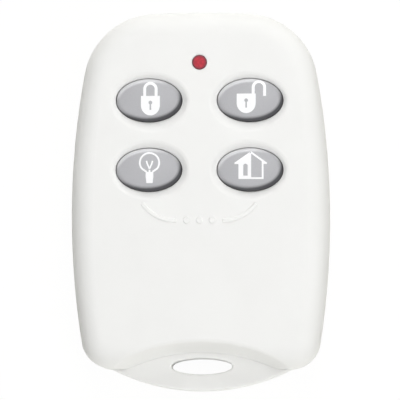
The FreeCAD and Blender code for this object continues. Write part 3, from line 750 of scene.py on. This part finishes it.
def flat_sign(name, strips, middle, height):
    """One flat mesh of strips in millimetres round middle, at a height in metres."""
    starts = np.cumsum([0] + [len(points) for points, _ in strips[:-1]])
    flat = np.vstack([points for points, _ in strips]) * MM + middle
    quads = np.vstack([quads + start for (_, quads), start in zip(strips, starts)])
    points = np.hstack([flat, np.full((len(flat), 1), height)])
    mesh = bpy.data.meshes.new(name)
    mesh.from_pydata(points.tolist(), [], quads.tolist())
    piece = bpy.data.objects.new(name, mesh)
    bpy.context.scene.collection.objects.link(piece)
    return piece


def pressed_print(name, strips, key):
    """Presses flat strips, in millimetres from the key's middle, onto the key's cap."""
    cap = frame["nodes"]["key_cap_" + key]
    low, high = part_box(cap.name)
    middle = (low + high) / 2
    piece = flat_sign(name, strips, [middle.x + PRINT_OFFSET, middle.y], high.z + PRESS_FROM)
    press = piece.modifiers.new("press", "SHRINKWRAP")
    press.target = cap
    press.wrap_method = "PROJECT"
    press.use_project_z = True
    press.use_negative_direction = True
    press.use_positive_direction = False
    press.offset = PRINT_STAND
    body = piece.modifiers.new("body", "SOLIDIFY")
    body.thickness = PRINT_DEPTH
    body.offset = -1.0
    seen = piece.evaluated_get(bpy.context.evaluated_depsgraph_get())
    pressed = bpy.data.meshes.new_from_object(seen)
    piece.modifiers.clear()
    piece.data = pressed
    pressed.materials.append(print_white)
    pressed.polygons.foreach_set("use_smooth", np.zeros(len(pressed.polygons), bool))
    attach(piece, "key_" + key)
    top = max(v.co.z for v in pressed.vertices)
    print(name, len(pressed.vertices), "points, top at", round(top / MM, 3), "mm")


# %% [markdown]
# ### The two padlocks
#
# A padlock's body is straight at the top and round at the bottom, with a keyhole. Its outline and
# its keyhole are two closed curves with the same number of points, both starting at the top and
# running the same way round, so one closed strip fills the body and leaves the keyhole open. The
# shackle is a bow with two legs: an open strip between an outer and an inner line. On the open
# padlock the whole bow has swung over, so it stands on the body's right edge and its free leg is
# cut short.

# %% Padlock shapes
LOCK_HALF_WIDTH = 1.55
LOCK_SIDE = 1.55
LOCK_ROUND = 1.65
BOW_RADIUS = 1.17
BOW_WIDTH = 0.48
KEYHOLE_RADIUS = 0.3
KEYHOLE_DROP = 1.1
KEYHOLE_LENGTH = 1.2
KEYHOLE_WIDTH = 0.26


def padlock_outline(middle, top):
    """The body's outline from the middle of its top: straight sides over half an ellipse."""
    bottom = arc((middle, top - LOCK_SIDE), (LOCK_HALF_WIDTH, LOCK_ROUND), 0, -180, 33)
    upper = [(middle, top), (middle + LOCK_HALF_WIDTH, top)]
    return np.vstack([upper, bottom, [(middle - LOCK_HALF_WIDTH, top)]])


def keyhole(middle, top):
    """The keyhole's outline from its top: a ring that opens into a straight slot."""
    centre = (middle, top - KEYHOLE_DROP)
    half = KEYHOLE_WIDTH / 2
    neck = math.degrees(math.asin(half / KEYHOLE_RADIUS))
    ring = arc(centre, KEYHOLE_RADIUS, 90, -90 + neck, 15)
    foot = centre[1] - KEYHOLE_LENGTH
    slot = [(middle + half, foot), (middle - half, foot)]
    return np.vstack([ring, slot, arc(centre, KEYHOLE_RADIUS, -90 - neck, -268, 15)])


def padlock_body(middle, top):
    """The filled body between its outline and its keyhole; middle and top place it on the key."""
    outline = evenly(padlock_outline(middle, top), 96)
    return strip(outline, evenly(keyhole(middle, top), 96), rows=8, closed=True)


def padlock_bow(middle, foot, crest, free_end):
    """Half a circle under crest, its left leg down to foot and its right leg to free_end."""
    centre = (middle, crest - BOW_RADIUS)

    def line(radius):
        bend = arc(centre, radius, 180, 0, 25)
        legs = [(middle - radius, foot)], [(middle + radius, free_end)]
        return evenly(np.vstack([legs[0], bend, legs[1]]), 60, closed=False)

    return strip(line(BOW_RADIUS), line(BOW_RADIUS - BOW_WIDTH), rows=5)


# %% Print the padlocks
LOCK_MIDDLE = 0.12
LOCK_TOP = 0.68
LOCK_CREST = 2.98
OPEN_MIDDLE = -0.74
OPEN_TOP = 1.0
OPEN_BOW_MIDDLE = 1.34
OPEN_CREST = 3.2
OPEN_FREE_END = 0.6

lock_bow = padlock_bow(LOCK_MIDDLE, LOCK_TOP, LOCK_CREST, LOCK_TOP)
pressed_print("sign_lock", [padlock_body(LOCK_MIDDLE, LOCK_TOP), lock_bow], "lock")
open_bow = padlock_bow(OPEN_BOW_MIDDLE, OPEN_TOP, OPEN_CREST, OPEN_FREE_END)
pressed_print("sign_unlock", [padlock_body(OPEN_MIDDLE, OPEN_TOP), open_bow], "unlock")

# %% [markdown]
# ### The light bulb
#
# The glass is one stroke: most of a circle, whose ends run in to the neck. The screw base is a
# filled taper below it, and the filament is a small V on a stem.

# %% Bulb shape
GLASS_RADIUS = 1.58
GLASS_Y = 1.12
GLASS_WIDTH = 0.3
NECK_HALF = 0.62
NECK_INSET = 0.14
NECK_TOP = -0.38
BASE_SIDE = [(-NECK_HALF, NECK_TOP), (-0.64, -1.15), (-0.5, -2.22)]
FILAMENT = [(-0.5, 1.42), (-0.36, 0.92), (0, 0.1), (0.36, 0.92), (0.5, 1.42)]
FILAMENT_WIDTH = 0.26
STEM_TOP = -0.06


def bulb_sign():
    """Glass, base, filament and stem as four strips."""
    round_part = arc((0, GLASS_Y), GLASS_RADIUS, 218, -38, 49)
    neck = NECK_HALF - NECK_INSET
    path = evenly(np.vstack([[(-neck, NECK_TOP)], round_part, [(neck, NECK_TOP)]]), 80, False)
    left = sides(BASE_SIDE, 6, False)
    bent = evenly(sides(FILAMENT, 5, False), 24, False)
    upright = sides([(0, STEM_TOP), (0, NECK_TOP)], 5, False)
    return [
        strip(*stroke(path, GLASS_WIDTH), rows=4),
        strip(left, left * [-1, 1], rows=9),
        strip(*stroke(bent, FILAMENT_WIDTH), rows=3),
        strip(*stroke(upright, GLASS_WIDTH), rows=3),
    ]


pressed_print("sign_light", bulb_sign(), "light")

# %% [markdown]
# ### The house
#
# The left half is filled and has an arched door; the right half is only an outline. Both halves
# are closed strips between an outer polygon and an inner one with the same number of corners, so
# that each corner of the wall faces its own corner of the opening.

# %% House shape
RIDGE = (0.05, 2.95)
EAVE = 2.65
EAVE_Y = 1.08
LOW_EAVE_Y = 0.86
LEFT_WALL = 2.0
RIGHT_WALL = 2.1
FLOOR_Y = -1.6
DOOR = [(-0.5, 0.72), (-0.84, 0.92), (-1.05, 0.85), (-1.2, 0.67), (-1.2, -1.05), (-0.5, -1.05)]
ROOM = [(0.08, 2.55), (1.78, 1.3), (1.8, 1.26), (1.8, 1.18), (1.8, -1.32), (0.08, -1.32)]


def half_house(eave, wall):
    """The outline of one half, whose eave and wall lie at these places across the key."""
    roof = [RIDGE, (eave, EAVE_Y), (eave, LOW_EAVE_Y)]
    return sides(roof + [(wall, LOW_EAVE_Y), (wall, FLOOR_Y), (RIDGE[0], FLOOR_Y)], 12)


def house_sign():
    """The filled half with its door and the outlined half."""
    filled = strip(half_house(-EAVE, -LEFT_WALL), sides(DOOR, 12), rows=8, closed=True)
    outlined = strip(half_house(EAVE, RIGHT_WALL), sides(ROOM, 12), rows=5, closed=True)
    return [filled, outlined]


pressed_print("sign_home", house_sign(), "home")

# %% [markdown]
# ## Floor, light and camera
#
# The picture is a catalogue shot on white paper. The floor really is diffuse, so it catches the
# remote's shadow and throws light up at its sides. To the camera, and to what it sees in glossy
# surfaces, most of it is replaced by plain white, which is how a picture on a cut-out background
# looks.

# %% Floor
FLOOR_HALF = 3.0
FLOOR_GAP = 0.02 * MM
PAPER = srgb(228, 227, 218)
SHEET_WHITE = 1.02
SHEET_SHARE = 0.94


def white_paper():
    """Matt paper that is mostly plain white to the camera, to gloss and through glass."""
    material = bpy.data.materials.new("white_paper")
    material.use_nodes = True
    tree = material.node_tree
    paper = tree.nodes["Principled BSDF"]
    paper.inputs["Base Color"].default_value = PAPER
    paper.inputs["Roughness"].default_value = 0.9
    glow = {"Color": (1, 1, 1, 1), "Strength": SHEET_WHITE}
    white = put(tree, "ShaderNodeEmission", glow).outputs[0]
    path = put(tree, "ShaderNodeLightPath").outputs
    glossy = maths(tree, "MAXIMUM", path["Is Glossy Ray"], path["Is Transmission Ray"])
    direct = maths(tree, "MAXIMUM", path["Is Camera Ray"], glossy)
    share = maths(tree, "MULTIPLY", direct, SHEET_SHARE)
    sockets = {0: share, 1: paper.outputs[0], 2: white}
    seen = put(tree, "ShaderNodeMixShader", sockets).outputs[0]
    wire(tree, tree.nodes["Material Output"], Surface=seen)
    return material


def white_floor(half, level):
    """A square sheet of paper, half metres each way, at a level in metres."""
    mesh = bpy.data.meshes.new("floor")
    corners = [(-half, -half, level), (half, -half, level), (half, half, level)]
    mesh.from_pydata(corners + [(-half, half, level)], [], [(0, 1, 2, 3)])
    mesh.materials.append(white_paper())
    floor = bpy.data.objects.new("floor", mesh)
    bpy.context.scene.collection.objects.link(floor)
    floor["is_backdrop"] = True
    print("floor of", 2 * half, "m at", round(level / MM, 3), "mm")


white_floor(FLOOR_HALF, cad_box[0].z - FLOOR_GAP)

# %% [markdown]
# Six soft lamps of the same size stand around the remote: one overhead, two beyond the upper end,
# two beyond the lower end and one at the lower right. None stands on the left, so the left side
# falls into shade, as do the upper wall of each well and the wall of the arch. Polished spots
# would mirror the lamps as hard squares, so glossy rays don't see them and get the even world
# instead.

# %% Lamps
LAMP_SIZE = 0.4
LAMP_DISTANCE = 0.8
# Each lamp's name, direction from the remote and power in watts.
LAMPS = [
    ("overhead", (0.1, 0.1, 1.0), 2.3),
    ("upper_high", (0.0, 0.75, 0.75), 2.4),
    ("upper_low", (0.0, 1.0, 0.3), 1.8),
    ("lower_high", (0.0, -0.75, 0.65), 0.6),
    ("lower_low", (0.0, -1.0, 0.25), 1.6),
    ("lower_right", (0.55, -0.55, 0.65), 1.6),
]


def soft_lamp(name, direction, power):
    """A square lamp that looks at the remote from a direction given as (x, y, z)."""
    lamp = bpy.data.lights.new(name, "AREA")
    lamp.size = LAMP_SIZE
    lamp.energy = power
    holder = bpy.data.objects.new(name, lamp)
    bpy.context.scene.collection.objects.link(holder)
    toward = np.array(direction) / np.linalg.norm(direction)
    holder.location = toward * LAMP_DISTANCE
    holder.rotation_mode = "QUATERNION"
    holder.rotation_quaternion = holder.location.to_track_quat("Z", "Y")
    holder.visible_glossy = False


for lamp_values in LAMPS:
    soft_lamp(*lamp_values)
print("lamps:", [name for name, _, _ in LAMPS])

# %% [markdown]
# The world fills the shadows a little. The camera, gloss and glass see it as plain white, like the
# paper.

# %% World
WORLD_FILL = 0.1


def studio_world(fill):
    """An even white world: its strength is fill, and 1 where it is seen.

    strength = fill + seen * (1 - fill), where seen is 1 for camera, glossy and transmission rays.
    """
    world = bpy.data.worlds.new("studio")
    bpy.context.scene.world = world
    world.use_nodes = True
    tree = world.node_tree
    background = tree.nodes["Background"]
    background.inputs["Color"].default_value = (1, 1, 1, 1)
    path = put(tree, "ShaderNodeLightPath").outputs
    glossy = maths(tree, "MAXIMUM", path["Is Glossy Ray"], path["Is Transmission Ray"])
    seen = maths(tree, "MAXIMUM", path["Is Camera Ray"], glossy)
    more = maths(tree, "MULTIPLY", seen, 1.0 - fill)
    wire(tree, background, Strength=maths(tree, "ADD", more, fill))
    print("world:", world.name, "with a fill of", fill)


studio_world(WORLD_FILL)

# %% [markdown]
# The photograph looks down on the remote with a long lens, tipped a little towards its lower right
# corner: the lower and right sides of the keys show, and the sides that face away don't.

# %% Camera
VIEW_HEIGHT = 85.35
VIEW_TURN = 33.5
VIEW_DISTANCE = 0.75
FRAME_WIDTH = 65.8 * MM
AIM = (-0.22 * MM, 0.36 * MM, 7.0 * MM)
CLIP = (0.05, 10.0)


def look_down():
    """A long lens that stands VIEW_HEIGHT degrees up, VIEW_TURN degrees round from the lower end.

    lens = sensor width * distance / width of the frame.
    """
    camera = bpy.data.cameras.new("camera")
    holder = bpy.data.objects.new("camera", camera)
    bpy.context.scene.collection.objects.link(holder)
    up, turn = math.radians(VIEW_HEIGHT), math.radians(VIEW_TURN)
    level = math.cos(up)
    back = np.array([math.sin(turn) * level, -math.cos(turn) * level, math.sin(up)])
    across = np.cross([0, 1, 0], back)
    across /= np.linalg.norm(across)
    turned = np.eye(4)
    turned[:3, :3] = np.stack([across, np.cross(back, across), back], axis=1)
    turned[:3, 3] = np.array(AIM) + back * VIEW_DISTANCE
    holder.matrix_world = Matrix(turned.tolist())
    camera.lens = camera.sensor_width * VIEW_DISTANCE / FRAME_WIDTH
    camera.clip_start, camera.clip_end = CLIP
    bpy.context.scene.camera = holder
    return camera


camera = look_down()
bpy.context.scene.view_settings.view_transform = "Standard"
print("lens", round(camera.lens), "mm")

# %% [markdown]
# ## Measure
#
# The prints stand a few thousandths of a millimetre proud of the keys, inside the box that the
# raised link on the cover already reaches. The two boxes are written out so that this can be
# Both boxes are printed.

# %% Sizes and finish
dressed_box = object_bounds()
for title, box in (("CAD box in mm", cad_box), ("dressed box in mm", dressed_box)):
    print(title, [[round(v / MM, 3) for v in corner] for corner in box])
